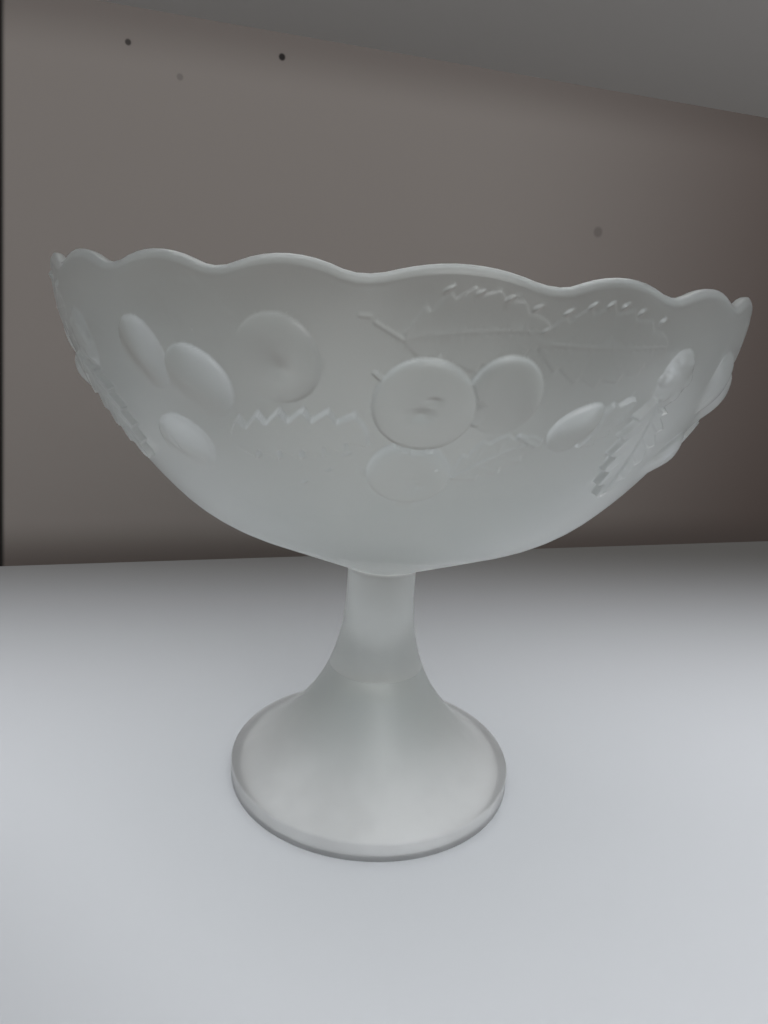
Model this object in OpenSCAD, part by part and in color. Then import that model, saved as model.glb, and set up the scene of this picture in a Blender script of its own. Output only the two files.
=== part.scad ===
// Pressed glass fruit bowl on a tall foot: scalloped rim and a garland of fruit and leaves.
// Millimetres. The bowl stands on z = 0 and its axis is z.
// Azimuth 0 faces -y, and azimuths grow anticlockwise seen from above.

/* [Bowl] */
// Diameter over the rim
rim_d = 230; // [190:1:270]
// Thickness of the wall
wall_t = 4.2; // [3.2:0.1:5.5]
// Thickness of the glass under the floor
floor_t = 7; // [5:0.5:10]
// Radius of the wall's curve just under the rim
rim_curve_r = 62; // [50:1:75]
// Radius of the wall's long curve
wall_curve_r = 150; // [120:1:180]
// Radius of the curve that turns the wall under
under_curve_r = 64; // [45:1:80]
// Slope of the wall where the first curve ends
shoulder_slope = 67; // [62:1:72]
// Slope of the wall where the long curve ends
belly_slope = 45; // [40:1:50]
// Slope of the underside
under_slope = 24; // [18:1:30]

/* [Rim] */
// Parts of the mould, each with the same pattern
sections = 4; // [3:1:5]
// Lobes of the rim in one section, the first of them wide
lobes = 5; // [3:1:6]
// Angle that the wide lobe takes
wide_lobe_a = 21.8; // [18:0.1:26]
// Height of a lobe from valley to crest
wave_h = 3.2; // [1.5:0.1:5]
// Rounding of the rim's two edges
lip = 1.3; // [0.5:0.1:1.5]

/* [Garland] */
// Height of the band that the garland fills
garland_h = 55; // [45:1:60]
// Distance from the rim down to the band
garland_drop = 4.5; // [4:0.5:8]
// Radius of the largest apple
apple_r = 12; // [9:0.5:13]
// Height of the largest apple above the wall
apple_rise = 2.4; // [1.5:0.1:4]
// Length of the largest leaf
leaf_l = 34; // [24:1:38]
// Height of a leaf above the wall
leaf_rise = 1.1; // [0.7:0.1:2]
// Radius of a leaf's face
leaf_curve_r = 105; // [90:1:140]
// Radius of a grape
grape_r = 2.7; // [2:0.1:3.4]
// Radius of a twig
twig_r = 0.9; // [0.6:0.1:1.4]

/* [Stem] */
// Diameter of the stem
stem_d = 27; // [20:0.5:32]
// Length of the stem from the foot to the bowl
stem_h = 44; // [32:1:60]
// Radius of the fillet under the bowl
seat_fillet = 3.5; // [2:0.1:6]

/* [Foot] */
// Diameter of the foot
foot_d = 115.6; // [95:0.5:140]
// Height of the foot's upright edge
edge_h = 7.4; // [5:0.1:10]
// Rounding of the foot's upper edge
edge_fillet = 1; // [0.5:0.1:2]
// Height of the foot up to its neck
foot_h = 49; // [38:0.5:60]
// Diameter of the neck, where the stem is joined
neck_d = 38; // [34:0.5:46]
// Slope of the foot just inside its edge
edge_slope = 22; // [15:1:30]
// Thickness of the foot's glass
foot_t = 5; // [4:0.1:7]
// Thickness of the glass between the hollow and the neck
neck_t = 7.5; // [5:0.5:12]
// Width of the ring that the foot rests on
rest_w = 6; // [4:0.5:9]
// Height of the step inside that ring
rest_h = 3; // [1.5:0.5:4]

/* [Hidden] */
$fn = 96;

glass = [0.80, 0.85, 0.83, 0.75];

// One overrun serves every cut
over = 1.6;

rim_r = rim_d / 2;
stem_r = stem_d / 2;
foot_r = foot_d / 2;
neck_r = neck_d / 2;
seat_r = stem_r + seat_fillet;
seat_z = foot_h + stem_h;
section_a = 360 / sections;

// The wall is a chain of arcs that are tangent to each other. A place on it is given by its
// slope: 90 is upright at the rim. Each joint of the chain is a radius and a distance below the rim.
shoulder = arc_end([rim_r, 0], rim_curve_r, 90, shoulder_slope);
belly = arc_end(shoulder, wall_curve_r, shoulder_slope, belly_slope);
under = arc_end(belly, under_curve_r, belly_slope, under_slope);
bowl_h = under[1] + (under[0] - seat_r) * tan(under_slope);
rim_h = seat_z + bowl_h;

function reversed(list) = [for (i = [len(list) - 1 : -1 : 0]) list[i]];
function arc_end(start, r, a, b) =
    [start[0] - r * (sin(a) - sin(b)), start[1] + r * (cos(b) - cos(a))];
function arc_path(start, r, a, b, steps) =
    [for (i = [1 : steps]) arc_end(start, r, a, a + (b - a) * i / steps)];

// Slope and radius of the outer wall at a distance below the rim
function slope_at(drop) =
    drop < shoulder[1] ? acos(drop / rim_curve_r)
    : drop < belly[1] ? acos(cos(shoulder_slope) + (drop - shoulder[1]) / wall_curve_r)
    : acos(min(cos(belly_slope) + (drop - belly[1]) / under_curve_r, cos(under_slope)));
function radius_at(drop) =
    let(a = slope_at(drop))
    drop < shoulder[1] ? arc_end([rim_r, 0], rim_curve_r, 90, a)[0]
    : drop < belly[1] ? arc_end(shoulder, wall_curve_r, shoulder_slope, a)[0]
    : arc_end(belly, under_curve_r, belly_slope, a)[0];

// The wall's outline at a depth into the glass, as radius and distance below the rim
function wall_path(depth) =
    let(top = [rim_r - depth, 0],
        a = arc_end(top, rim_curve_r - depth, 90, shoulder_slope),
        b = arc_end(a, wall_curve_r - depth, shoulder_slope, belly_slope))
    concat([top],
        arc_path(top, rim_curve_r - depth, 90, shoulder_slope, 4),
        arc_path(a, wall_curve_r - depth, shoulder_slope, belly_slope, 7),
        arc_path(b, under_curve_r - depth, belly_slope, under_slope, 4));

// The floor is an arc that is tangent to the inner wall and level on the axis
inner_path = wall_path(wall_t);
inner_end = inner_path[len(inner_path) - 1];
floor_curve_r = (inner_end[1] + inner_end[0] * tan(under_slope) - bowl_h + floor_t)
    / (1 / cos(under_slope) - 1);
floor_start = [floor_curve_r * sin(under_slope), bowl_h - floor_t - floor_curve_r * (1 - cos(under_slope))];
floor_path = concat([floor_start], arc_path(floor_start, floor_curve_r, under_slope, 0, 5));

// The rim's lobes: a crest arc and a valley arc that are tangent, the crest arc the larger
crest_share = 0.7;
lobe_steps = 6;
narrow_lobe_a = (section_a - wide_lobe_a) / (lobes - 1);
// Azimuth of the valley where the wide lobe starts, as a share of a section
wave_start_share = -0.043;
crest_top = wave_h / 2;
// Each edge of the rim is rounded in two flats, which meet at this share of the rounding
lip_share = 0.3;
lip_steep = (1 - lip_share) / lip_share;

function lobe_height(x, half_w) =
    let(both = (half_w * half_w + wave_h * wave_h) / (2 * wave_h),
        crest_r = both * crest_share,
        valley_r = both - crest_r,
        turn = crest_share * half_w,
        from_valley = half_w - abs(x))
    abs(x) < turn
        ? sqrt(crest_r * crest_r - x * x) - crest_r + crest_top
        : valley_r - sqrt(valley_r * valley_r - from_valley * from_valley) - crest_top;

// Stations round the rim, each an azimuth and the height of the edge above the mean rim
rim_stations = [
    for (s = [0 : sections - 1], k = [0 : lobes - 1], i = [0 : lobe_steps - 1])
        let(width_a = k == 0 ? wide_lobe_a : narrow_lobe_a,
            start_a = k == 0 ? 0 : wide_lobe_a + (k - 1) * narrow_lobe_a,
            share = i / lobe_steps,
            half_w = rim_r * sin(width_a / 2))
        [(s + wave_start_share) * section_a + start_a + width_a * share,
         lobe_height((2 * share - 1) * half_w, half_w)]
];

// The foot's outer curve runs from its edge to the neck and goes on into the stem
stem_flare_share = 0.7;
flare_h = stem_h * stem_flare_share;
flare_w = neck_r - stem_r;
flare_r = (flare_h * flare_h + flare_w * flare_w) / (2 * flare_w);
neck_slope = 90 - asin(flare_h / flare_r);
foot_handle_share = 0.31;
foot_start = [foot_r - edge_fillet, edge_h + edge_fillet * tan(edge_slope) / 2];

function bezier(a, b, c, d, t) =
    a * pow(1 - t, 3) + 3 * b * t * pow(1 - t, 2) + 3 * c * t * t * (1 - t) + d * pow(t, 3);
function foot_curve(start, end, steps) =
    let(handle = norm(end - start) * foot_handle_share,
        leave = start + handle * [-cos(edge_slope), sin(edge_slope)],
        arrive = end + handle * [cos(neck_slope), -sin(neck_slope)])
    [for (i = [0 : steps]) bezier(start, leave, arrive, end, i / steps)];

// The hollow under the foot follows the outer curve at the thickness of the glass
hollow_r = foot_r - rest_w;
hollow_h = foot_h - neck_t;
hollow_neck_r = neck_r - foot_t / sin(neck_slope);
hollow_dome_share = 0.45;

// Garland. Places are shares: azimuth of a section, distance down of the band.
// Sizes are shares of apple_r or leaf_l, and rises are shares of apple_rise.
dimple_share = 0.24;
// A dimple lies this share of its radius below the fruit's middle
dimple_drop_share = 0.25;
// The garland's pieces reach this share of the wall's thickness into it
bury_share = 0.55;
bury = wall_t * bury_share;

// Round fruit: azimuth, distance down, radius, rise, and 1 where an apple's dimple is seen
round_shares = [
    [-0.382, 0.757, 0.87, 0.85, 1],
    [-0.153, 0.30, 0.87, 0.65, 1],
    [0.031, 0.78, 0.87, 0.80, 1],
    [0.152, 0.39, 0.81, 0.72, 0],
    [0.043, 0.445, 1, 1, 1]
];
// Long fruit: azimuth, distance down, lean to the left, half length, half width, rise
long_shares = [
    [-0.276, 0.45, 34, 0.95, 0.70, 0.90],
    [-0.380, 0.357, 24, 0.98, 0.62, 0.80],
    [0.284, 0.53, -38, 0.68, 0.45, 0.90]
];
// Bunches of grapes: azimuth, distance down
grape_shares = [[0.444, 0.29]];
grape_rows = [2, 3, 2];
grape_pitch_share = 1.62;
grape_row_share = 0.87;
grape_sink_share = 0.25;

// Leaves: azimuth, distance down, direction of the tip, length, half width as a share of the
// length, teeth on each side, and their depth as a share of the half width. No teeth give a
// plain pointed oval.
leaf_shares = [
    [0.104, 0.153, 6, 0.94, 0.28, 5, 0.17],
    [0.287, 0.160, 1, 1, 0.27, 5, 0.17],
    [-0.140, 0.640, 13, 1, 0.23, 6, 0.34],
    [-0.271, 0.126, 154, 0.76, 0.25, 0, 0],
    [0.172, 0.690, 32, 0.71, 0.25, 0, 0],
    [0.337, 0.504, 49, 0.54, 0.25, 0, 0],
    [0.444, 0.668, -87, 0.86, 0.29, 0, 0]
];
// A toothed leaf is widest near its middle: these shares and power shape its edge
leaf_base_share = 0.06;
leaf_end_share = 0.94;
leaf_edge_power = 0.8;
leaf_tip_share = 0.56;
// The midrib starts beyond the leaf's base and ends short of its tip
rib_base_share = 0.6;
rib_tip_share = 0.45;
rib_w_share = 0.055;
rib_rise_share = 0.35;

// Twigs: azimuth, distance down, direction, length as a share of leaf_l
twig_shares = [[-0.006, 0.137, -32, 0.26]];

// Stands its children on the wall: their z points out of the glass and their y up the wall
module on_wall(azimuth_share, down_share) {
    drop = garland_drop + down_share * garland_h;
    rotate([0, 0, azimuth_share * section_a])
        translate([0, -radius_at(drop), rim_h - drop])
            rotate([180 - slope_at(drop), 0, 0])
                children();
}

// A shallow dome with a crisp edge, its foot buried in the wall
module dome(r, rise) {
    ball_r = (r * r + rise * rise) / (2 * rise);
    intersection() {
        translate([0, 0, rise - ball_r]) sphere(ball_r, $fn = 160);
        translate([0, 0, -bury]) cylinder(r = r, h = bury + rise + over, $fn = 64);
    }
}

module round_fruit(r, rise, dimpled) {
    hole = r * dimple_share;
    if (dimpled == 1)
        difference() {
            dome(r, rise);
            translate([0, -hole * dimple_drop_share, rise + hole / 2]) sphere(hole, $fn = 32);
        }
    else
        dome(r, rise);
}

// A pointed oval: what two cylinders share of a ball
module oval(half_l, half_w, rise, ball_r) {
    side_r = (half_l * half_l + half_w * half_w) / (2 * half_w);
    intersection() {
        translate([0, 0, rise - ball_r]) sphere(ball_r, $fn = 240);
        translate([side_r - half_w, 0, -bury]) cylinder(r = side_r, h = bury + rise + over, $fn = 128);
        translate([half_w - side_r, 0, -bury]) cylinder(r = side_r, h = bury + rise + over, $fn = 128);
    }
}

module long_fruit(half_l, half_w, rise) {
    oval(half_l, half_w, rise, (half_l * half_l + rise * rise) / (2 * rise));
}

// Berries in rows that overlap a little
module grapes() {
    pitch = grape_r * grape_pitch_share;
    rows = len(grape_rows);
    for (row = [0 : rows - 1], i = [0 : grape_rows[row] - 1])
        translate([(i - (grape_rows[row] - 1) / 2) * pitch,
                   ((rows - 1) / 2 - row) * pitch * grape_row_share, -grape_r * grape_sink_share])
            sphere(grape_r, $fn = 40);
}

// A leaf's edge from stalk to tip: each tooth rises slowly and drops back on the side of the tip
function leaf_side(length, half_w, teeth, tooth_share, side) =
    [for (i = [0 : teeth - 1], tip = [0, 1])
        let(t = (i + tip) / teeth,
            turn = 180 * (leaf_base_share + (leaf_end_share - leaf_base_share) * t),
            w = half_w * pow(sin(turn), leaf_edge_power),
            root_share = tip == 1 || i == 0 ? 1 : 1 - tooth_share)
        [(t - 1 / 2) * length, side * w * root_share]];

module leaf(length, half_w, teeth, tooth_share) {
    if (teeth == 0)
        rotate(-90) oval(length / 2, half_w, leaf_rise, leaf_curve_r);
    else {
        rib = length * rib_w_share / 2;
        on_leaf_face(leaf_rise)
            polygon(concat(
                leaf_side(length, half_w, teeth, tooth_share, -1),
                [[length * leaf_tip_share, 0]],
                reversed(leaf_side(length, half_w, teeth, tooth_share, 1))));
        on_leaf_face(leaf_rise * (1 + rib_rise_share))
            polygon([
                [-length * rib_base_share, -rib],
                [length * rib_tip_share, 0],
                [-length * rib_base_share, rib]]);
    }
}

// Raises an outline out of the wall up to a leaf's curved face
module on_leaf_face(rise) {
    intersection() {
        translate([0, 0, -bury]) linear_extrude(bury + rise + over) children();
        translate([0, 0, rise - leaf_curve_r]) sphere(leaf_curve_r, $fn = 240);
    }
}

module twig(length) {
    rotate([0, 90, 0]) cylinder(r = twig_r, h = length, center = true, $fn = 24);
}

module garland() {
    for (f = round_shares)
        on_wall(f[0], f[1]) round_fruit(f[2] * apple_r, f[3] * apple_rise, f[4]);
    for (f = long_shares)
        on_wall(f[0], f[1]) rotate(f[2])
            long_fruit(f[3] * apple_r, f[4] * apple_r, f[5] * apple_rise);
    for (f = grape_shares)
        on_wall(f[0], f[1]) grapes();
    for (f = leaf_shares)
        on_wall(f[0], f[1]) rotate(f[2])
            leaf(f[3] * leaf_l, f[4] * f[3] * leaf_l, f[5], f[6]);
    for (f = twig_shares)
        on_wall(f[0], f[1]) rotate(f[2]) twig(f[3] * leaf_l);
}

// What is cut off above the rim: a ring whose underside has the rim's lobes and rounded edges
module rim_cut() {
    top = crest_top + 2 * over;
    section_path = [
        [rim_r + over, -lip - lip_steep * over],
        [rim_r - lip_share * lip, -lip_share * lip],
        [rim_r - lip, 0],
        [rim_r - wall_t + lip, 0],
        [rim_r - wall_t + lip_share * lip, -lip_share * lip],
        [rim_r - wall_t - over, -lip - lip_steep * over]
    ];
    n = len(section_path) + 2;
    count = len(rim_stations);
    points = [
        for (s = rim_stations, i = [0 : n - 1])
            let(p = i < n - 2 ? section_path[i] + [0, s[1]]
                : [i == n - 2 ? rim_r - wall_t - over : rim_r + over, top])
            [p[0] * sin(s[0]), -p[0] * cos(s[0]), rim_h + p[1]]
    ];
    faces = [
        for (s = [0 : count - 1], i = [0 : n - 1])
            let(next = (s + 1) % count, j = (i + 1) % n)
            [s * n + i, next * n + i, next * n + j, s * n + j]
    ];
    polyhedron(points, faces);
}

module shell() {
    outer = concat([[rim_r, -crest_top - over]], wall_path(0), [[seat_r, bowl_h], [0, bowl_h]]);
    inner = concat(reversed(floor_path), reversed(inner_path), [[rim_r - wall_t, -crest_top - over]]);
    translate([0, 0, rim_h])
        rotate_extrude($fn = 180)
            polygon([for (p = concat(outer, inner)) [max(p[0], 0), -p[1]]]);
}

module bowl() {
    color(glass)
        union() {
            difference() {
                shell();
                rim_cut();
            }
            for (s = [0 : sections - 1])
                rotate([0, 0, s * section_a]) garland();
        }
}

module stem() {
    flare = [for (i = [0 : 6])
        let(a = neck_slope + (90 - neck_slope) * i / 6)
        [stem_r + flare_r * (1 - sin(a)), foot_h + flare_h - flare_r * cos(a)]];
    fillet = [for (i = [0 : 4])
        let(a = 90 * i / 4)
        [seat_r - seat_fillet * cos(a), seat_z - seat_fillet + seat_fillet * sin(a)]];
    color(glass)
        rotate_extrude()
            polygon(concat([[0, foot_h]], flare, fillet, [[0, seat_z]]));
}

module foot() {
    outer = foot_curve(foot_start, [neck_r, foot_h], 10);
    color(glass)
        rotate_extrude($fn = 180)
            polygon(concat(
                [[hollow_r, 0], [foot_r, 0], [foot_r, edge_h - edge_fillet]],
                outer,
                [[0, foot_h]],
                hollow_path()));
}

// The hollow's outline from its top on the axis down to the resting ring
function hollow_path() =
    let(dome_h = hollow_neck_r * hollow_dome_share,
        neck_end = [hollow_neck_r, hollow_h - dome_h],
        wall = foot_curve([hollow_r - rest_h / 2, rest_h], neck_end, 8))
    concat(
        [for (i = [0 : 4]) let(a = 90 * i / 5) [hollow_neck_r * sin(a), hollow_h - dome_h * (1 - cos(a))]],
        reversed([for (i = [0 : len(wall) - 2]) wall[i]]));

bowl();
stem();
foot();
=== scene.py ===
# Frosted pressed glass fruit bowl on a tall foot: scalloped rim, garland of fruit and leaves.
# The glass is in millimetres, and its materials, the room and the lamps are in metres.
# Angles are in degrees, but for the camera's, and azimuth 0 faces the camera.
import math

import bpy
import numpy as np
from mathutils import Matrix, Vector


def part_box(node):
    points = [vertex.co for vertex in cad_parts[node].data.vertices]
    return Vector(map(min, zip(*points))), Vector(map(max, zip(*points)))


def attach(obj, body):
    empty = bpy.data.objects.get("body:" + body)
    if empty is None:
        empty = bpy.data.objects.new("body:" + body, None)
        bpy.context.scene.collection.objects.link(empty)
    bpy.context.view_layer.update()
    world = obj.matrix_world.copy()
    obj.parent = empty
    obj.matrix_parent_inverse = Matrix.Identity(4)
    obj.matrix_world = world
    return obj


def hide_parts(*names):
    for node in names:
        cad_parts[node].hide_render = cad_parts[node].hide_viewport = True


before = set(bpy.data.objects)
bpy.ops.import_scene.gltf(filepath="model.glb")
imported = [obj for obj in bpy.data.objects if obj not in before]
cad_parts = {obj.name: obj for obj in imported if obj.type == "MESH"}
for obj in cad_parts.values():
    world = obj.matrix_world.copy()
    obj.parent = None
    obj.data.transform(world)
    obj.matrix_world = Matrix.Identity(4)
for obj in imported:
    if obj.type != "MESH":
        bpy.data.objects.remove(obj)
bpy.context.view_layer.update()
mm = 0.001
print("frame loaded:", sorted(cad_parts))


# Small helpers for modelling

def deselectAll():
    if bpy.context.object and bpy.context.object.mode == "EDIT":
        bpy.ops.object.mode_set(mode="OBJECT")
    bpy.ops.object.select_all(action="DESELECT")


def makeActive(piece):
    deselectAll()
    piece.select_set(True)
    bpy.context.view_layer.objects.active = piece


def vertexArray(piece):
    co = np.empty(len(piece.data.vertices) * 3)
    piece.data.vertices.foreach_get("co", co)
    return co.reshape(-1, 3)


def closeSkin(piece, gap=0.02 * mm):
    # seams and poles are merged, then the normals point outwards
    makeActive(piece)
    bpy.ops.object.mode_set(mode="EDIT")
    bpy.ops.mesh.select_all(action="SELECT")
    bpy.ops.mesh.remove_doubles(threshold=gap)
    bpy.ops.mesh.dissolve_degenerate(threshold=gap / 4)
    bpy.ops.mesh.normals_make_consistent(inside=False)
    bpy.ops.object.mode_set(mode="OBJECT")
    bpy.ops.object.shade_smooth()


def spinOutline(name, outline, steps):
    # an outline of radius and height, turned once round the z axis
    mesh = bpy.data.meshes.new(name)
    points = [(r * mm, 0, z * mm) for r, z in outline]
    mesh.from_pydata(points, [(i, i + 1) for i in range(len(points) - 1)], [])
    piece = bpy.data.objects.new(name, mesh)
    bpy.context.collection.objects.link(piece)
    makeActive(piece)
    bpy.ops.object.mode_set(mode="EDIT")
    bpy.ops.mesh.select_all(action="SELECT")
    bpy.ops.mesh.spin(steps=steps, angle=2 * math.pi, center=(0, 0, 0), axis=(0, 0, 1))
    bpy.ops.object.mode_set(mode="OBJECT")
    closeSkin(piece)
    return piece


def closeRow(outline, gap=0.1):
    # a row close to the outline's last point keeps the shading even up to a sharp edge
    before, end = np.array(outline[-2]), np.array(outline[-1])
    near = end + (before - end) * gap / math.hypot(*(before - end))
    return outline[:-1] + [tuple(near), outline[-1]]


def smoothStep(value, low, high):
    t = np.clip((value - low) / (high - low), 0, 1)
    return t * t * (3 - 2 * t)


# The bowl's wall, as an outline

bowlSizes = dict(
    rimRadius=115.0,
    wall=4.2,
    floor=7.0,
    rimCurve=62.0,
    wallCurve=150.0,
    underCurve=64.0,
    slopes=(90.0, 67.0, 45.0, 24.0),  # where the three curves meet and end
    seatRadius=17.0,
    lip=2.05,
    lipFlat=0.6,  # 0 is a round lip and 1 a bevelled one
    lipWidth=1.15,
    waveHeight=3.2,
    waveStart=-3.87,
    waveReach=(1.0, 22.0),  # the wave is whole above the first place and gone below the second
    crestShare=0.7,
    sections=4,
    wideLobe=21.8,
    narrowLobes=4,
    overRun=8.0,  # the outlines go on above the rim, because the lobes do
    wallSteps=80, seatSteps=60, floorSteps=80, tablePlaces=3000,
)
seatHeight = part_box("bowl")[0][2] / mm
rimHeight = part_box("bowl")[1][2] / mm - bowlSizes["waveHeight"] / 2
bowlDepth = rimHeight - seatHeight
sectionAngle = 360 / bowlSizes["sections"]


def wallOutline(depth):
    # radius and distance below the rim, at a depth into the glass, from the rim down
    b = bowlSizes
    r, down = b["rimRadius"] - depth, 0.0
    points = [(r, -b["overRun"])]
    curves = zip((b["rimCurve"], b["wallCurve"], b["underCurve"]), b["slopes"], b["slopes"][1:])
    for radius, start, end in curves:
        radius -= depth
        s, e = math.radians(start), math.radians(end)
        for i in range(b["wallSteps"]):
            a = math.radians(start + (end - start) * i / b["wallSteps"])
            points.append((r - radius * (math.sin(s) - math.sin(a)),
                           down + radius * (math.cos(a) - math.cos(s))))
        r, down = r - radius * (math.sin(s) - math.sin(e)), down + radius * (math.cos(e) - math.cos(s))
    points.append((r, down))
    return points


def outerOutline():
    # below the wall's curves a straight run ends at the seat
    b = bowlSizes
    points = wallOutline(0)
    r, down = points[-1]
    shares = np.linspace(0, 1, b["seatSteps"])[1:]
    return points + [(r + (b["seatRadius"] - r) * t, down + (bowlDepth - down) * t) for t in shares]


def innerOutline():
    # the floor is an arc, tangent to the wall and level on the axis
    b = bowlSizes
    points = wallOutline(b["wall"])
    r, down = points[-1]
    a = math.radians(b["slopes"][-1])
    level = bowlDepth - b["floor"]
    curve = (down + r * math.tan(a) - level) / (1 / math.cos(a) - 1)
    for t in np.linspace(a, 0, b["floorSteps"]):
        points.append((curve * math.sin(t), level - curve * (1 - math.cos(t))))
    return points


class Outline:
    # a table of an outline: place along it from the rim down, radius, distance below the rim
    def __init__(self, points):
        p = np.array(points)
        along = np.concatenate([[0], np.cumsum(np.hypot(*np.diff(p, axis=0).T))])
        along -= np.interp(0.0, p[:, 1], along)
        self.along = np.linspace(along[0], along[-1], bowlSizes["tablePlaces"])
        self.r = np.interp(self.along, along, p[:, 0])
        self.down = np.interp(self.along, along, p[:, 1])
        self.length = along[-1]
        self.slopeR = np.gradient(self.r, self.along)
        self.slopeDown = np.gradient(self.down, self.along)

    def at(self, q):
        return np.interp(q, self.along, self.r), np.interp(q, self.along, self.down)

    def normal(self, q):
        # outwards, as radius and height
        return np.interp(q, self.along, self.slopeDown), np.interp(q, self.along, self.slopeR)

    def placeOfHeight(self, z):
        return float(np.interp(rimHeight - z, self.down, self.along))


outer = Outline(outerOutline())
inner = Outline(innerOutline())


def rimWave(azimuth):
    # each lobe is a crest arc and a valley arc that are tangent
    b = bowlSizes
    narrow = (sectionAngle - b["wideLobe"]) / b["narrowLobes"]
    a = np.mod(azimuth - b["waveStart"], sectionAngle)
    wide = a < b["wideLobe"]
    width = np.where(wide, b["wideLobe"], narrow)
    share = np.where(wide, a / b["wideLobe"], np.mod(a - b["wideLobe"], narrow) / narrow)
    half = b["rimRadius"] * np.sin(np.radians(width / 2))
    x = np.abs(2 * share - 1) * half
    h = b["waveHeight"]
    both = (half ** 2 + h ** 2) / (2 * h)
    crest = both * b["crestShare"]
    valley = both - crest
    top = np.sqrt(np.maximum(crest ** 2 - x ** 2, 0)) - crest + h / 2
    low = valley - np.sqrt(np.maximum(valley ** 2 - (half - x) ** 2, 0)) - h / 2
    return np.where(x < b["crestShare"] * half, top, low)


# The garland, as heights over the wall, once in each section

# Fruit from back to front. Each has its azimuth and height, its half width and half length, its lean,
# the rise and the edge of its dome, and its dimples: place across and up, two sizes and depth.
# taper narrows its upper end, and hollow is the depth of a wide dent in its middle.
# By the share in fade its lower edge melts into the wall, and what lies behind it shows through.
# melt is an angle that turns the melted edge round, and crest is where the dome has its full rise.
fruits = [
    dict(at=(-13.8, 175.4), half=(10.6, 10.8), lean=0, rise=2.5, edge="plump", hollow=1.2, melt=60, fade=0.9,
         crest=0.5, dimples=[(1.4, -2.2, 2.8, 2.4, 0.9)]),
    dict(at=(-33.4, 150.6), half=(10.4, 8.8), lean=20, rise=2.7, edge="plump", melt=50, fade=1.0,
         dimples=[(-1.5, 1.5, 0.7, 2.2, 0.5)]),
    dict(at=(-34.2, 173.8), half=(7.8, 9.8), lean=24, rise=2.6, edge="plump", melt=78, fade=1.0, dimples=[]),
    dict(at=(-25.9, 168.2), half=(9.8, 10.2), lean=32, rise=3.1, edge="plump", taper=0.1, melt=68, fade=1.0,
         crest=0.3, dimples=[]),
    dict(at=(40.0, 175.4), half=(6.6, 8.2), lean=0, rise=1.8, edge="plump", fade=0.3, dimples=[]),
    dict(at=(13.7, 170.4), half=(9.2, 10.2), lean=0, rise=1.9, edge="crisp", fade=0.9, dimples=[]),
    dict(at=(3.2, 149.0), half=(10.4, 10.6), lean=0, rise=1.9, edge="crisp", hollow=0.3, fade=0.6,
         dimples=[(1.8, -3.0, 2.0, 1.0, 0.5), (1.0, -0.6, 1.3, 0.6, 0.3)]),
    dict(at=(25.6, 163.2), half=(5.6, 8.2), lean=-38, rise=2.4, edge="plump", taper=0.25, melt=-30, fade=0.7,
         dimples=[]),
    dict(at=(4.1, 167.0), half=(12.0, 12.3), lean=0, rise=2.2, edge="crisp", hollow=0.3, fade=0.35,
         dimples=[(-0.8, -1.6, 2.8, 1.5, 1.1), (1.9, 2.6, 1.9, 0.8, 0.6)]),
]
fruitForm = dict(
    foot=0.05,  # a small step all round, which a melted edge keeps
    crest=0.35,
    hollowWidth=0.5,
    edges=dict(crisp=(7.0, 0.6), plump=(2.0, 0.6)),  # power and root of the dome
)
# Leaves: stalk and tip as azimuth and height, half width, bend of the midrib, teeth, their depth, rise
leaves = [
    dict(stalk=(1.2, 182.0), tip=(17.6, 185.2), half=9.2, bend=1.0, teeth=6, tooth=1.8, rise=0.22),
    dict(stalk=(16.4, 182.8), tip=(35.2, 183.6), half=9.4, bend=-0.6, teeth=6, tooth=1.8, rise=0.22,
         rib=0.18),
    dict(stalk=(-22.6, 154.6), tip=(-2.6, 160.6), half=6.8, bend=0.2, teeth=6, tooth=3.2, rise=1.7,
         blunt=0.3),
    dict(stalk=(9.6, 148.6), tip=(21.4, 159.6), half=6.0, bend=1.6, teeth=4, tooth=1.6, rise=0.4, rib=0.35),
    dict(stalk=(-18.4, 179.6), tip=(-30.4, 190.6), half=6.2, bend=-1.2, teeth=5, tooth=1.4, rise=0.12,
         rib=0.06),
    dict(stalk=(27.0, 158.0), tip=(33.6, 170.6), half=4.6, bend=0.8, teeth=4, tooth=1.6, rise=1.3),
    dict(stalk=(37.6, 171.0), tip=(40.2, 141.6), half=8.8, bend=0.6, teeth=6, tooth=3.0, rise=1.9, rib=0.5),
]
leafForm = dict(
    ramp=0.7,  # width of the slope round the leaf
    halfShares=(0.05, 0.92), swell=0.9, blunt=0.75,  # the half width is a power of a sine along the leaf
    toothShare=0.84, toothMiddle=0.75, toothFade=1.6,  # a tooth rises over its share and falls over the rest
    pastStalk=0.4, pastTip=0.3,
    middleShare=0.82, leastHalf=0.5,  # the leaf is lower along its middle
    rib=0.12, ribHalf=0.45, ribShares=(1.25, 0.8),  # the midrib gets thinner towards the tip
    veinHalf=0.34, veinShare=0.35, veinLean=0.85, veinStart=0.55,
    veinGap=0.3, veinEdge=(0.8, 2.2), veinStalk=(1.5, 4),  # veins keep clear of midrib, edge and stalk
)
# Twigs: runs of azimuth and height, with their half width
twigs = [
    dict(run=[(-3.8, 186.2), (-2.8, 186.2)], half=0.45, rise=0.2),
    dict(run=[(-2.2, 185.0), (1.3, 181.4)], half=0.45, rise=0.25),
    dict(run=[(-2.0, 174.2), (-0.3, 171.4)], half=0.6, rise=0.75),
    dict(run=[(10.9, 163.6), (12.0, 168.6)], half=1.0, rise=0.8),
    dict(run=[(11.4, 150.6), (12.0, 153.5), (14.2, 155.6), (17.3, 157.4)], half=0.45, rise=0.45),
    dict(run=[(17.6, 160.5), (20.3, 158.2)], half=0.8, rise=0.8),
]
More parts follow.
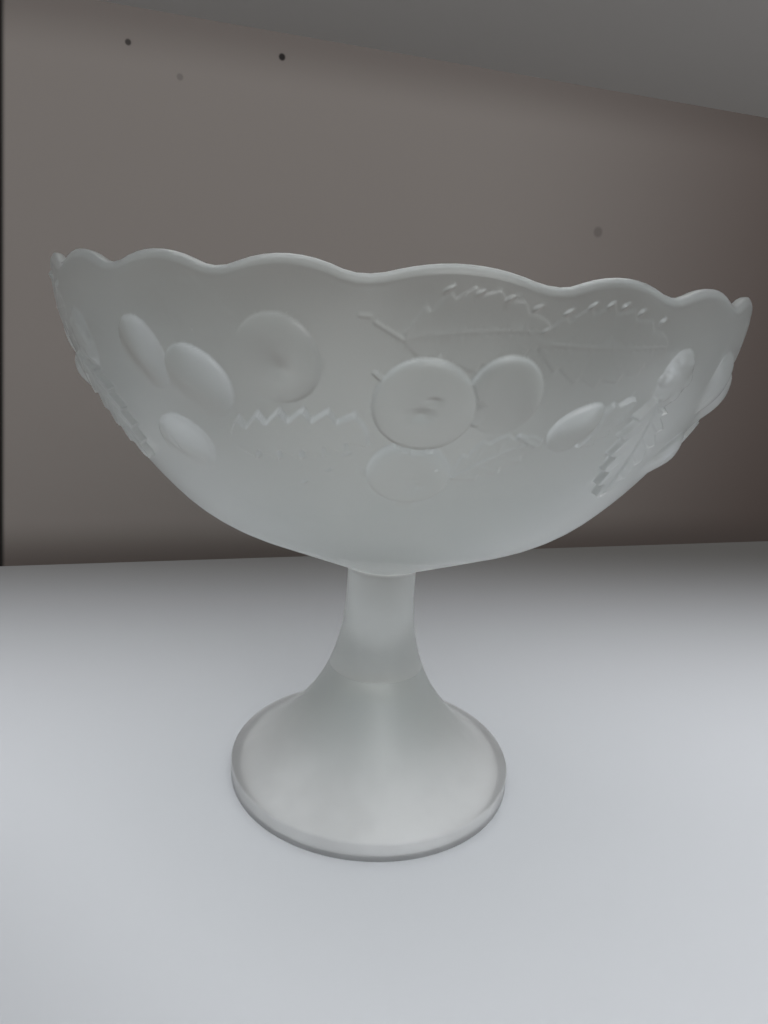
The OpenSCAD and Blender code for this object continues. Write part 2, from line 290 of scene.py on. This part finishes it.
# Ticks: where the tips of teeth catch the light, each a short stroke that leans over
ticks = dict(
    length=1.6, half=0.5, rise=0.75, lean=34,
    at=[(5.4, 192.8), (8.7, 192.4), (12.1, 191.7), (15.4, 190.2), (16.8, 185.6), (19.2, 189.8),
        (22.2, 191.6), (24.6, 192.1), (26.7, 192.1), (29.3, 191.0), (33.1, 189.4), (-4.9, 157.7),
        (-5.7, 153.4), (-9.8, 153.6), (-8.5, 148.3), (-12.8, 144.1), (-20.1, 151.4)],
)
grapes = dict(at=(40.0, 175.6), radius=2.5, rows=(2, 3, 2), rise=1.7, pitchShare=1.75, rowShare=0.88)


def onWall(azimuth, q, r, place):
    # flat coordinates on the wall round a place: across to the right, and up
    turn = np.mod(azimuth - place[0] + sectionAngle / 2, sectionAngle) - sectionAngle / 2
    return np.radians(turn) * r, outer.placeOfHeight(place[1]) - q


def fruitHeight(azimuth, q, r, fruit):
    f = fruitForm
    x, y = onWall(azimuth, q, r, fruit["at"])
    c, s = math.cos(math.radians(fruit["lean"])), math.sin(math.radians(fruit["lean"]))
    across, along = x * c + y * s, -x * s + y * c
    halfW, halfL = fruit["half"]
    width = halfW * (1 - fruit.get("taper", 0) * np.clip(along / halfL, -1, 1))
    t = np.hypot(across / width, along / halfL)
    power, root = f["edges"][fruit["edge"]]
    h = fruit["rise"] * np.clip(1 - t ** power, 0, 1) ** root
    turn = math.radians(fruit.get("melt", 0))
    side = across / width * math.sin(turn) + along / halfL * math.cos(turn)
    h = h * (1 - fruit["fade"] * (1 - smoothStep(side, -1.0, fruit.get("crest", f["crest"]))))
    h = h - fruit.get("hollow", 0) * np.exp(-(t / f["hollowWidth"]) ** 2)
    for dx, dy, sx, sy, deep in fruit["dimples"]:
        h = h - deep * np.exp(-((x - dx) / sx) ** 2 - ((y - dy) / sy) ** 2)
    return t < 1, h + f["foot"]


def leafHeight(azimuth, q, r, leaf):
    f, teeth = leafForm, leaf["teeth"]
    x0, y0 = onWall(azimuth, q, r, leaf["stalk"])
    stalkQ, tipQ = outer.placeOfHeight(leaf["stalk"][1]), outer.placeOfHeight(leaf["tip"][1])
    middleR = float(outer.at((tipQ + stalkQ) / 2)[0])
    run = math.radians(leaf["tip"][0] - leaf["stalk"][0]) * middleR
    rise = stalkQ - tipQ
    length = math.hypot(run, rise)
    c, s = run / length, rise / length
    x, y = x0 * c + y0 * s, -x0 * s + y0 * c
    t = np.clip(x / length, 0, 1)
    y = y - leaf["bend"] * 4 * t * (1 - t)
    first, rest = f["halfShares"]
    half = leaf["half"] * np.sin(np.pi * (first + rest * t ** f["swell"])) ** leaf.get("blunt", f["blunt"])
    tooth = np.mod(t * teeth, 1)
    tooth = np.where(tooth < f["toothShare"], tooth / f["toothShare"], (1 - tooth) / (1 - f["toothShare"]))
    toothSize = leaf["tooth"] * np.clip(half / leaf["half"] * f["toothFade"], 0, 1)
    edge = half + toothSize * (tooth - f["toothMiddle"])
    inside = np.minimum(edge - np.abs(y), np.minimum(x + f["pastStalk"], length - x + f["pastTip"]))
    side = np.clip(np.abs(y) / np.maximum(half, f["leastHalf"]), 0, 1)
    h = leaf["rise"] * smoothStep(inside, 0, f["ramp"]) * (f["middleShare"] + (1 - f["middleShare"]) * side)
    wide, thinner = f["ribShares"]
    ribGap = np.abs(y) / (f["ribHalf"] * (wide - thinner * t))
    ribRise = leaf.get("rib", f["rib"])
    h = h + ribRise * np.clip(1 - ribGap ** 2, 0, 1) * (inside > 0)
    # side veins leave the midrib towards the teeth
    veinPlace = np.mod((x - np.abs(y) * f["veinLean"]) / length * teeth - f["veinStart"], 1) - 0.5
    veinGap = np.abs(veinPlace) * length / teeth / math.hypot(1, f["veinLean"])
    vein = np.clip(1 - (veinGap / f["veinHalf"]) ** 2, 0, 1) * smoothStep(inside, *f["veinEdge"])
    vein = vein * (np.abs(y) > f["veinGap"]) * smoothStep(x, *f["veinStalk"])
    return h + ribRise * f["veinShare"] * vein


def twigHeight(azimuth, q, r, twig):
    best = np.full(azimuth.shape, np.inf)
    for a, b in zip(twig["run"], twig["run"][1:]):
        x, y = onWall(azimuth, q, r, a)
        aQ, bQ = outer.placeOfHeight(a[1]), outer.placeOfHeight(b[1])
        bx, by = math.radians(b[0] - a[0]) * float(outer.at(aQ)[0]), aQ - bQ
        t = np.clip((x * bx + y * by) / (bx * bx + by * by), 0, 1)
        best = np.minimum(best, np.hypot(x - bx * t, y - by * t))
    return twig["rise"] * np.sqrt(np.clip(1 - (best / twig["half"]) ** 2, 0, 1))


def tickHeight(azimuth, q, r):
    c, s = math.cos(math.radians(ticks["lean"])), math.sin(math.radians(ticks["lean"]))
    h = np.zeros_like(azimuth)
    for place in ticks["at"]:
        x, y = onWall(azimuth, q, r, place)
        t = np.hypot((x * c + y * s) / ticks["length"], (y * c - x * s) / ticks["half"])
        h = np.maximum(h, ticks["rise"] * np.clip(1 - t ** 2, 0, 1))
    return h


def grapeHeight(azimuth, q, r):
    g = grapes
    x, y = onWall(azimuth, q, r, g["at"])
    pitch = g["radius"] * g["pitchShare"]
    h = np.zeros_like(x)
    for row, count in enumerate(g["rows"]):
        for i in range(count):
            dx = (i - (count - 1) / 2) * pitch
            dy = ((len(g["rows"]) - 1) / 2 - row) * pitch * g["rowShare"]
            t = np.hypot(x - dx, y - dy) / g["radius"]
            h = np.maximum(h, g["rise"] * np.sqrt(np.clip(1 - t * t, 0, 1)))
    return h


def garlandHeight(azimuth, q):
    r = outer.at(q)[0]
    h = np.zeros_like(azimuth)
    for leaf in leaves:
        h = np.maximum(h, leafHeight(azimuth, q, r, leaf))
    for twig in twigs:
        h = np.maximum(h, twigHeight(azimuth, q, r, twig))
    h = np.maximum(h, tickHeight(azimuth, q, r))
    for fruit in fruits:
        inside, dome = fruitHeight(azimuth, q, r, fruit)
        h = np.where(inside, np.maximum(dome, h * fruit["fade"]), h)
    return np.maximum(h, grapeHeight(azimuth, q, r))


# The bowl: a flat grid, cut finer along the garland, then rolled up

rolling = dict(
    columns=240, seam=46.5, seamShare=0.99,  # the seam is in a bare place, and edges beside it aren't tested
    bandTop=2.5, bandLow=74.0, bandPitch=3.0, bandOver=4.0,  # the band of rows that the garland lies in
    lowPitch=5.0,
    lipEdge=(1.2, 0.3, 0.0), lipShares=(0.25, 0.5, 0.75, 1.0),
    innerRows=(1.5, 4.0, 8.0), innerStart=13.0, innerPitch=6.0,
    tolerances=(0.07, 0.06, 0.06), probes=(0.2, 0.4, 0.6, 0.8),
)


def skinRows():
    # places along the skin from the seat's middle, over the lip, to the floor's middle
    b, k = bowlSizes, rolling
    seat, lip = b["seatRadius"], b["lip"]
    quarter = lip * math.pi / 2
    flat = b["wall"] - 2 * lip
    toLip = seat + outer.length - lip
    toInner = toLip + 2 * quarter + flat
    innerRun = inner.length - lip
    lowRun = outer.length - k["bandLow"]
    lowRows = np.linspace(seat, seat + lowRun, int(lowRun / k["lowPitch"]) + 1)
    bandRows = np.arange(seat + lowRun, toLip - k["bandTop"], k["bandPitch"])[1:]
    shares = np.array(k["lipShares"])
    overLip = toLip + quarter + flat
    lipRows = np.concatenate([toLip - np.array(k["lipEdge"]), toLip + quarter * shares,
                              [overLip], overLip + quarter * shares])
    innerSteps = np.linspace(k["innerStart"], innerRun, int(innerRun / k["innerPitch"]))
    innerRows = toInner + np.concatenate([k["innerRows"], innerSteps])
    rows = np.concatenate([[0, seat], lowRows[1:], bandRows, lipRows, innerRows])
    return rows, dict(seat=seat, toLip=toLip, quarter=quarter, flat=flat, toInner=toInner)


def wallPlace(p, azimuth):
    # place below the rim on the outer wall, with the rim's wave
    q = bowlSizes["seatRadius"] + outer.length - p
    return q - rimWave(azimuth) * (1 - smoothStep(q, *bowlSizes["waveReach"]))


def rollUp(p, azimuth, marks):
    b = bowlSizes
    lip, wave = b["lip"], rimWave(azimuth)
    r, z = np.zeros_like(p), np.zeros_like(p)
    seat = p <= marks["seat"]
    r[seat], z[seat] = p[seat], seatHeight
    wall = (p > marks["seat"]) & (p <= marks["toLip"])
    q = wallPlace(p[wall], azimuth[wall])
    wr, wd = outer.at(q)
    nr, nz = outer.normal(q)
    h = garlandHeight(azimuth[wall], q)
    r[wall], z[wall] = wr + h * nr, rimHeight - wd + h * nz
    # the lip's outer edge is between a round one and a bevelled one, and its inner edge is round
    over = (p > marks["toLip"]) & (p <= marks["toInner"])
    s = p[over] - marks["toLip"]
    flat, quarter = b["lipFlat"], math.pi / 2
    first = np.clip(s / marks["quarter"], 0, 1) * quarter
    across = np.clip(s - marks["quarter"], 0, marks["flat"])
    last = np.clip((s - marks["quarter"] - marks["flat"]) / marks["quarter"], 0, 1) * quarter
    outside = 1 - flat * first / quarter - (1 - flat) * (1 - np.cos(first))
    up = flat * first / quarter + (1 - flat) * np.sin(first)
    across = across * (b["wall"] - lip - b["lipWidth"]) / marks["flat"]
    r[over] = b["rimRadius"] - b["lipWidth"] * (1 - outside) - across - lip * np.sin(last)
    z[over] = rimHeight + wave[over] - lip + lip * up - lip * (1 - np.cos(last))
    inside = p > marks["toInner"]
    q = p[inside] - marks["toInner"] + lip
    q = q - wave[inside] * (1 - smoothStep(q, *b["waveReach"]))
    ir, idown = inner.at(q)
    r[inside], z[inside] = ir, rimHeight - idown
    a = np.radians(azimuth)
    return np.stack([r * np.sin(a), -r * np.cos(a), z], 1) * mm


def unrolled(co, rows):
    # azimuth and place along the skin of the grid's points
    azimuth = rolling["seam"] + (co[:, 0] + 1) * 180
    return azimuth, np.interp((co[:, 1] + 1) / 2 * (len(rows) - 1), np.arange(len(rows)), rows)


def skinHeight(azimuth, p):
    return garlandHeight(azimuth, wallPlace(p, azimuth))


def facesToCut(piece, rows, marks, tolerance):
    # the faces with an edge over which the garland's height bends more than the tolerance
    mesh = piece.data
    co = vertexArray(piece)
    azimuth, p = unrolled(co, rows)
    ends = np.empty(len(mesh.edges) * 2, int)
    mesh.edges.foreach_get("vertices", ends)
    ends = ends.reshape(-1, 2)
    low = marks["seat"] + outer.length - rolling["bandLow"] - rolling["bandOver"]
    near = (p[ends].min(1) > low) & (p[ends].max(1) <= marks["toLip"])
    near &= np.abs(co[ends, 0]).max(1) < rolling["seamShare"]
    a, b = ends[near, 0], ends[near, 1]
    ha, hb = skinHeight(azimuth[a], p[a]), skinHeight(azimuth[b], p[b])
    error = np.zeros(len(a))
    for t in rolling["probes"]:
        mid = skinHeight(azimuth[a] * (1 - t) + azimuth[b] * t, p[a] * (1 - t) + p[b] * t)
        error = np.maximum(error, np.abs(mid - ha * (1 - t) - hb * t))
    bad = np.zeros(len(mesh.edges), bool)
    bad[np.flatnonzero(near)[error > tolerance]] = True
    loopEdges = np.empty(len(mesh.loops), int)
    mesh.loops.foreach_get("edge_index", loopEdges)
    starts = np.empty(len(mesh.polygons), int)
    mesh.polygons.foreach_get("loop_start", starts)
    return np.logical_or.reduceat(bad[loopEdges], starts)


def buildBowl():
    rows, marks = skinRows()
    deselectAll()
    columns = rolling["columns"]
    bpy.ops.mesh.primitive_grid_add(x_subdivisions=columns, y_subdivisions=len(rows) - 1, size=2)
    piece = bpy.context.object
    piece.name = piece.data.name = "frostedBowl"
    for tolerance in rolling["tolerances"]:
        chosen = facesToCut(piece, rows, marks, tolerance)
        makeActive(piece)
        bpy.ops.object.mode_set(mode="EDIT")
        bpy.ops.mesh.select_mode(type="FACE")
        bpy.ops.mesh.select_all(action="DESELECT")
        bpy.ops.object.mode_set(mode="OBJECT")
        piece.data.polygons.foreach_set("select", chosen)
        bpy.ops.object.mode_set(mode="EDIT")
        bpy.ops.mesh.subdivide(number_cuts=1, ngon=False, quadcorner="INNERVERT")
        bpy.ops.object.mode_set(mode="OBJECT")
        print("bowl refined to", len(piece.data.polygons), "faces")
    azimuth, p = unrolled(vertexArray(piece), rows)
    piece.data.vertices.foreach_set("co", rollUp(p, azimuth, marks).ravel())
    piece.data.update()
    closeSkin(piece)
    return piece


bowlPiece = buildBowl()
print("bowl rolled up:", len(bowlPiece.data.polygons), "faces")


# The stem

stemSizes = dict(
    radius=13.5, fillet=3.5, neckRadius=19.0, flareShare=0.7,
    jointGap=0.02,  # faces that lie exactly on each other catch the light between them
    flareSteps=20, straightSteps=5, filletSteps=9, turns=160,
)
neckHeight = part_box("foot")[1][2] / mm


def stemOutline():
    s, seatRadius = stemSizes, bowlSizes["seatRadius"]
    high, wide = (seatHeight - neckHeight) * s["flareShare"], s["neckRadius"] - s["radius"]
    curve = (high ** 2 + wide ** 2) / (2 * wide)
    start = math.pi / 2 - math.asin(high / curve)
    flare = [(s["radius"] + curve * (1 - math.sin(a)), neckHeight + high - curve * math.cos(a))
             for a in np.linspace(start, math.pi / 2, s["flareSteps"])]
    flare = closeRow(flare[::-1])[::-1]  # the joint is where the flare starts
    filletLow = seatHeight - s["fillet"]
    straight = [(s["radius"], z) for z in np.linspace(flare[-1][1], filletLow, s["straightSteps"])[1:]]
    fillet = [(seatRadius - s["fillet"] * math.cos(a), filletLow + s["fillet"] * math.sin(a))
              for a in np.linspace(0, math.pi / 2, s["filletSteps"])[1:]]
    gap = s["jointGap"]
    points = [(0, neckHeight)] + flare + straight + fillet + [(0, seatHeight)]
    return [(r, min(max(z, neckHeight + gap), seatHeight - gap)) for r, z in points]


stemPiece = spinOutline("frostedStem", stemOutline(), stemSizes["turns"])
print("stem spun:", len(stemPiece.data.polygons), "faces")


# The foot

footSizes = dict(
    radius=57.8, edgeHeight=7.4, edgeRound=1.3, edgeSlope=22.0, neckSlope=69.75, handle=0.31,
    glass=5.0, neckGlass=7.5, dome=0.45, restWidth=6.0, restHeight=3.0,
    restBevel=0.25, toeBevel=0.6, toeMiddle=0.17,  # the corners of the ring that it rests on
    edgeSteps=6, outsideSteps=40, hollowSteps=30, domeSteps=10, turns=240,
)


def footCurve(start, end, steps):
    # a curve that leaves the edge at one slope and arrives at the neck at the other
    f = footSizes
    start, end = np.array(start), np.array(end)
    reach = np.hypot(*(end - start)) * f["handle"]
    edge, neck = math.radians(f["edgeSlope"]), math.radians(f["neckSlope"])
    leave = start + reach * np.array([-math.cos(edge), math.sin(edge)])
    arrive = end + reach * np.array([math.cos(neck), -math.sin(neck)])
    return [tuple(start * (1 - t) ** 3 + 3 * leave * t * (1 - t) ** 2
                  + 3 * arrive * t * t * (1 - t) + end * t ** 3)
            for t in np.linspace(0, 1, steps)]


def hollowOutline():
    # from the resting ring's inner side up to the axis, where a dome closes the hollow
    f = footSizes
    wide = f["radius"] - f["restWidth"] - f["restHeight"] / 2
    narrow = stemSizes["neckRadius"] - f["glass"] / math.sin(math.radians(f["neckSlope"]))
    top = neckHeight - f["neckGlass"]
    domeHeight = narrow * f["dome"]
    side = footCurve((wide, f["restHeight"]), (narrow, top - domeHeight), f["hollowSteps"])
    dome = [(narrow * math.cos(a), top - domeHeight * (1 - math.sin(a)))
            for a in np.linspace(0, math.pi / 2, f["domeSteps"])[1:-1]]
    return side + dome + [(0, top)]


def footOutline():
    f = footSizes
    radius, rounding, slope = f["radius"], f["edgeRound"], math.radians(f["edgeSlope"])
    hollow = radius - f["restWidth"]
    ring = [(hollow, f["restBevel"]), (hollow + f["restBevel"], 0), (radius - f["toeBevel"], 0),
            (radius - f["toeMiddle"], f["toeMiddle"]), (radius, f["toeBevel"]), (radius, f["edgeHeight"] / 2)]
    centre = (radius - rounding, f["edgeHeight"] - rounding / 2)
    edge = [(centre[0] + rounding * math.cos(a), centre[1] + rounding * math.sin(a))
            for a in np.linspace(0, math.pi / 2 - slope, f["edgeSteps"])]
    outside = closeRow(footCurve(edge[-1], (stemSizes["neckRadius"], neckHeight), f["outsideSteps"]))
    return hollowOutline()[::-1] + ring + edge + outside[1:] + [(0, neckHeight)]


footPiece = spinOutline("frostedFoot", footOutline(), footSizes["turns"])
print("foot spun:", len(footPiece.data.polygons), "faces")


# Materials

class Value:
    # a socket that takes part in Python sums; each sum adds its Math node
    def __init__(self, tree, socket):
        self.tree, self.socket = tree, socket

    def maths(self, operation, a, b):
        return self.tree.add("ShaderNodeMath", dict(operation=operation), {0: a, 1: b})

    def __add__(self, other):
        return self.maths("ADD", self, other)

    def __radd__(self, other):
        return self.maths("ADD", other, self)

    def __sub__(self, other):
        return self.maths("SUBTRACT", self, other)

    def __rsub__(self, other):
        return self.maths("SUBTRACT", other, self)

    def __mul__(self, other):
        return self.maths("MULTIPLY", self, other)

    def __rmul__(self, other):
        return self.maths("MULTIPLY", other, self)


class Finish:
    # a material and its node tree
    def __init__(self, name):
        self.material = bpy.data.materials.new(name)
        self.material.use_nodes = True
        self.nodes = self.material.node_tree.nodes
        self.links = self.material.node_tree.links
        self.nodes.clear()
        self.output = self.nodes.new("ShaderNodeOutputMaterial")

    def plug(self, socket, value):
        if isinstance(value, Value):
            self.links.new(value.socket, socket)
        else:
            socket.default_value = value

    def add(self, kind, settings=None, inputs=None, output=0):
        node = self.nodes.new(kind)
        for key, value in (settings or {}).items():
            setattr(node, key, value)
        for key, value in (inputs or {}).items():
            self.plug(node.inputs[key], value)
        return Value(self, node.outputs[output])

    def finish(self, surface):
        self.links.new(surface.socket, self.output.inputs["Surface"])
        return self.material


def mixColour(f, share, first, second):
    return f.add("ShaderNodeMix", dict(data_type="RGBA"), {0: share, 6: first, 7: second}, 2)


def ramp(f, value, low, high):
    return f.add("ShaderNodeMapRange", dict(interpolation_type="SMOOTHSTEP"), {0: value, 1: low, 2: high})


def axis(f, place, letter):
    return f.add("ShaderNodeSeparateXYZ", None, {0: place}, letter)


def larger(f, first, second):
    return f.add("ShaderNodeMath", dict(operation="MAXIMUM"), {0: first, 1: second})


bowlLook = dict(
    tint=(0.90, 0.925, 0.915, 1), cloudTint=(0.85, 0.88, 0.87, 1), transmission=0.94, roughness=0.32, ior=1.5,
    cloudRough=0.08, cloudRange=(0.36, 0.64), cloud={"Scale": 26.0, "Detail": 3.0, "Roughness": 0.6},
    grain={"Scale": 2600.0, "Detail": 2.0, "Roughness": 0.7}, bump={"Strength": 0.5, "Distance": 0.03 * mm},
    shade=(0.28, 0.29, 0.285, 1),
)
stemLook = dict(bowlLook, tint=(0.88, 0.90, 0.88, 1), cloudTint=(0.83, 0.85, 0.835, 1), transmission=0.76,
                roughness=0.36)
# the foot's colour darkens upwards towards the neck in painted shade
footLook = dict(bowlLook, tint=(0.96, 0.965, 0.965, 1), cloudTint=(0.83, 0.835, 0.835, 1), transmission=0.70,
                roughness=0.42, shade=(0.66, 0.67, 0.67, 1), topShadeTint=(0.70, 0.73, 0.715, 1),
                topShadeFade=(0.006, 0.040))


def frostedGlass(name, look):
    f = Finish(name)
    place = f.add("ShaderNodeTexCoord", output="Object")
    cloud = f.add("ShaderNodeTexNoise", None, {"Vector": place, **look["cloud"]})
    grain = f.add("ShaderNodeTexNoise", None, {"Vector": place, **look["grain"]})
    base = mixColour(f, ramp(f, cloud, *look["cloudRange"]), look["cloudTint"], look["tint"])
    # painted shade: the foot's colour darkens with height
    if "topShadeTint" in look:
        base = mixColour(f, ramp(f, axis(f, place, "Z"), *look["topShadeFade"]), base, look["topShadeTint"])
    surface = f.add("ShaderNodeBsdfPrincipled", None, {
        "Base Color": base,
        "Roughness": look["roughness"] + (cloud - 0.5) * look["cloudRough"],
        "IOR": look["ior"],
        "Transmission Weight": look["transmission"],
        "Normal": f.add("ShaderNodeBump", None, {"Height": grain, **look["bump"]}),
    })
    # lamps also shine straight through the glass, onto what stands behind and under it
    shadow = f.add("ShaderNodeLightPath", output="Is Shadow Ray")
    clear = f.add("ShaderNodeBsdfTransparent", None, {"Color": look["shade"]})
    return f.finish(f.add("ShaderNodeMixShader", None, {0: shadow, 1: surface, 2: clear}))


def fusedJoint():
    # the hot joints inside the glass don't bend light
    f = Finish("fusedJoint")
    return f.finish(f.add("ShaderNodeBsdfPrincipled", None, {
        "Base Color": (1, 1, 1, 1), "Roughness": 0.0, "IOR": 1.0, "Transmission Weight": 1.0}))


bowlGlass = frostedGlass("bowlFrost", bowlLook)
stemGlass = frostedGlass("stemFrost", stemLook)
footGlass = frostedGlass("footFrost", footLook)
jointGlass = fusedJoint()
jointFaces = dict(level=0.99, reach=0.03)


def dress(piece, material, jointHeights):
    # level faces at a joint's height get the joint's glass
    piece.data.materials.clear()
    piece.data.materials.append(material)
    piece.data.materials.append(jointGlass)
    for face in piece.data.polygons:
        level = abs(face.normal.z) > jointFaces["level"]
        joint = level and any(abs(face.center.z / mm - z) < jointFaces["reach"] for z in jointHeights)
        face.material_index = int(joint)
        face.use_smooth = not joint


dress(bowlPiece, bowlGlass, [seatHeight])
dress(stemPiece, stemGlass, [seatHeight, neckHeight])
dress(footPiece, footGlass, [neckHeight])
print("glass dressed")

pieces = [
    (bowlPiece, "bowl", "bowl_glass"),
    (stemPiece, "stem", "stem_glass"),
    (footPiece, "foot", "foot_glass"),
]
for piece, node, slotName in pieces:
    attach(piece, "root")
    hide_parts(node)


# The studio

studio = dict(
    turn=18.0, wallReach=0.276, sideReach=0.56, wallHeight=0.62, shelfHeight=0.358, shelfDepth=0.20,
    shelfColour=(0.44, 0.415, 0.395, 1), rightColour=(0.19, 0.18, 0.175, 1),
    openColour=(0.33, 0.32, 0.315, 1), skyLight=(1.0, 1.0, 1.0, 1), skyStrength=0.27,
)
# Painted shade: the table fades to dark towards the wall, under the shelf, and a little towards its near left
# corner
table = dict(
    half=0.62, patches=8, colour=(0.585, 0.605, 0.64, 1), dark=(0.085, 0.082, 0.078, 1), turn=10.0,
    fade=(-0.03, 0.315), cornerAim=(-0.6, -0.8, 0), cornerFade=(0.10, 0.19), cornerShare=0.3,
    paintedCornerShade=(0.03, 0.03, 0.03, 1), rough=0.75, gloss=0.3,
)
# The wall fades to dark towards the right. A mark is its place along and up, its radius and its darkness
backWall = dict(
    colour=(0.24, 0.216, 0.20, 1), dark=(0.115, 0.091, 0.082, 1), fade=(0.12, 0.52),
    # colour and width of the painted shade in the creases along the table and under the shelf
    creaseShadeColour=(0.10, 0.083, 0.076, 1), creaseShadeFade=0.035, lowShare=0.8, highShare=0.5,
    marks=[(-0.0985, 0.3383, 0.0024, 0.8), (-0.0035, 0.3441, 0.0028, 0.95), (-0.0678, 0.3234, 0.0026, 0.3),
           (0.2462, 0.2593, 0.0050, 0.3)],
    markColour=(0.02, 0.018, 0.018, 1),
    cornerLean=0.063, corner=(-0.1875, -0.191), cornerEnd=(-0.212, -0.208),  # the strip of dark corner
)


def backdrop(name, corners, material):
    # one face of the room, which is seen from inside only
    mesh = bpy.data.meshes.new(name)
    mesh.from_pydata(corners, [], [tuple(range(len(corners)))])
    mesh.materials.append(material)
    face = bpy.data.objects.new(name, mesh)
    bpy.context.collection.objects.link(face)
    face.rotation_euler.z = math.radians(studio["turn"])
    face.visible_diffuse = False
    face.visible_shadow = False


def backdropFinish(f, colour):
    # the room is clear from behind, and to light that has come off another surface
    seen = f.add("ShaderNodeBsdfDiffuse", None, {"Color": colour})
    clear = f.add("ShaderNodeBsdfTransparent")
    behind = f.add("ShaderNodeNewGeometry", output="Backfacing")
    lighting = f.add("ShaderNodeLightPath", output="Diffuse Depth")
    hidden = larger(f, behind, lighting)
    return f.finish(f.add("ShaderNodeMixShader", None, {0: hidden, 1: seen, 2: clear}))


def towards(f, place, aim):
    # how far a place lies in the direction of aim
    return f.add("ShaderNodeVectorMath", dict(operation="DOT_PRODUCT"), {0: place, 1: aim}, "Value")


def tableFinish():
    t = table
    f = Finish("paleFloor")
    place = f.add("ShaderNodeTexCoord", output="Object")
    turn = math.radians(t["turn"])
    back = towards(f, place, (-math.sin(turn), math.cos(turn), 0))
    corner = towards(f, place, t["cornerAim"])
    # painted shade towards the wall and the shelf, then towards the near left corner
    colour = mixColour(f, ramp(f, back, *t["fade"]), t["colour"], t["dark"])
    colour = mixColour(f, ramp(f, corner, *t["cornerFade"]) * t["cornerShare"], colour, t["paintedCornerShade"])
    return f.finish(f.add("ShaderNodeBsdfPrincipled", None, {
        "Base Color": colour, "Roughness": t["rough"], "Specular IOR Level": t["gloss"]}))


def wallFinish():
    # painted shade along the wall's foot at the table and along its top under the shelf, the marks, and the
    # strip of dark corner at the left
    w, top = backWall, studio["shelfHeight"]
    f = Finish("greyWall")
    place = f.add("ShaderNodeTexCoord", output="Object")
    along, height = axis(f, place, "X"), axis(f, place, "Z")
    colour = mixColour(f, ramp(f, along, *w["fade"]), w["colour"], w["dark"])
    # painted shade in the creases at the table and under the shelf
    low = ramp(f, height, w["creaseShadeFade"], 0.0) * w["lowShare"]
    high = ramp(f, height, top - w["creaseShadeFade"], top) * w["highShare"]
    colour = mixColour(f, larger(f, low, high), colour, w["creaseShadeColour"])
    for x, z, radius, dark in w["marks"]:
        gap = f.add("ShaderNodeVectorMath", dict(operation="DISTANCE"),
                    {0: place, 1: (x, studio["wallReach"], z)}, "Value")
        colour = mixColour(f, ramp(f, gap, radius, radius / 2) * dark, colour, w["markColour"])
    corner = ramp(f, along - height * w["cornerLean"], *w["corner"]) * ramp(f, along, *w["cornerEnd"])
    return backdropFinish(f, mixColour(f, corner, colour, w["markColour"]))


def plainFinish(name, colour):
    return backdropFinish(Finish(name), colour)


def buildStudio():
    s, patches = studio, table["patches"]
    deselectAll()
    bpy.ops.mesh.primitive_grid_add(x_subdivisions=patches, y_subdivisions=patches, size=2 * table["half"])
    floor = bpy.context.object
    floor.name = "studioFloor"
    floor.data.materials.append(tableFinish())
    across, back, top, shelf = s["sideReach"], s["wallReach"], s["wallHeight"], s["shelfHeight"]
    wall = wallFinish()
    room, right = plainFinish("greyRoom", s["openColour"]), plainFinish("darkSide", s["rightColour"])
    corners = [(-across, back), (across, back), (across, -back), (-across, -back)]
    sides = [(wall, shelf), (right, top), (room, top), (room, top)]
    for side, (a, b) in enumerate(zip(corners, corners[1:] + corners[:1])):
        material, high = sides[side]
        backdrop("studioWall%d" % side, [(*a, 0), (*b, 0), (*b, high), (*a, high)], material)
    front = back - s["shelfDepth"]
    under = [(across, front, shelf), (-across, front, shelf), (-across, back, shelf), (across, back, shelf)]
    backdrop("studioShelf", under, plainFinish("shelfUnderside", s["shelfColour"]))


buildStudio()

lamps = [
    dict(name="overhead", place=(0.0, 0.05, 1.3), aim=(0, 0, 0.1), size=1.8, watts=18.5),
    dict(name="frontFill", place=(0.35, -0.95, 0.75), aim=(0, 0, 0.1), size=0.7, watts=3.5),
]


def areaLamp(name, place, aim, size, watts):
    data = bpy.data.lights.new(name, "AREA")
    data.shape, data.size, data.energy = "SQUARE", size, watts
    lamp = bpy.data.objects.new(name, data)
    bpy.context.collection.objects.link(lamp)
    lamp.location = place
    lamp.rotation_euler = (Vector(aim) - Vector(place)).to_track_quat("-Z", "Y").to_euler()
    lamp.visible_camera = False


for lamp in lamps:
    areaLamp(**lamp)

world = bpy.data.worlds.new("studioWorld")
bpy.context.scene.world = world
world.use_nodes = True
sky = world.node_tree.nodes["Background"]
sky.inputs["Color"].default_value = studio["skyLight"]
sky.inputs["Strength"].default_value = studio["skyStrength"]
print("studio lit")


# The camera, where the photograph was taken from

cameraPlace = dict(
    place=(1.43, -276.5, 186.87), sensor=36,  # millimetres
    pitch=0.2621, yaw=-0.0077, roll=0.0663,  # radians
    focal=735.9, longSide=1024,  # pixels
    clip=(0.01, 20),  # metres
)


def buildCamera():
    c = cameraPlace
    data = bpy.data.cameras.new("photoCamera")
    data.sensor_width = c["sensor"]
    data.lens = c["focal"] / c["longSide"] * c["sensor"]
    data.clip_start, data.clip_end = c["clip"]
    camera = bpy.data.objects.new("photoCamera", data)
    bpy.context.collection.objects.link(camera)
    level = math.cos(c["pitch"])
    forward = Vector((math.sin(c["yaw"]) * level, math.cos(c["yaw"]) * level, -math.sin(c["pitch"])))
    right = Vector((math.cos(c["yaw"]), -math.sin(c["yaw"]), 0))
    up = right.cross(forward)
    turnedRight = math.cos(c["roll"]) * right + math.sin(c["roll"]) * up
    turnedUp = -math.sin(c["roll"]) * right + math.cos(c["roll"]) * up
    turn = Matrix((turnedRight, turnedUp, -forward)).transposed().to_4x4()
    camera.matrix_world = Matrix.Translation(Vector(c["place"]) * mm) @ turn
    bpy.context.scene.camera = camera


buildCamera()
bpy.context.scene.view_settings.view_transform = "Standard"
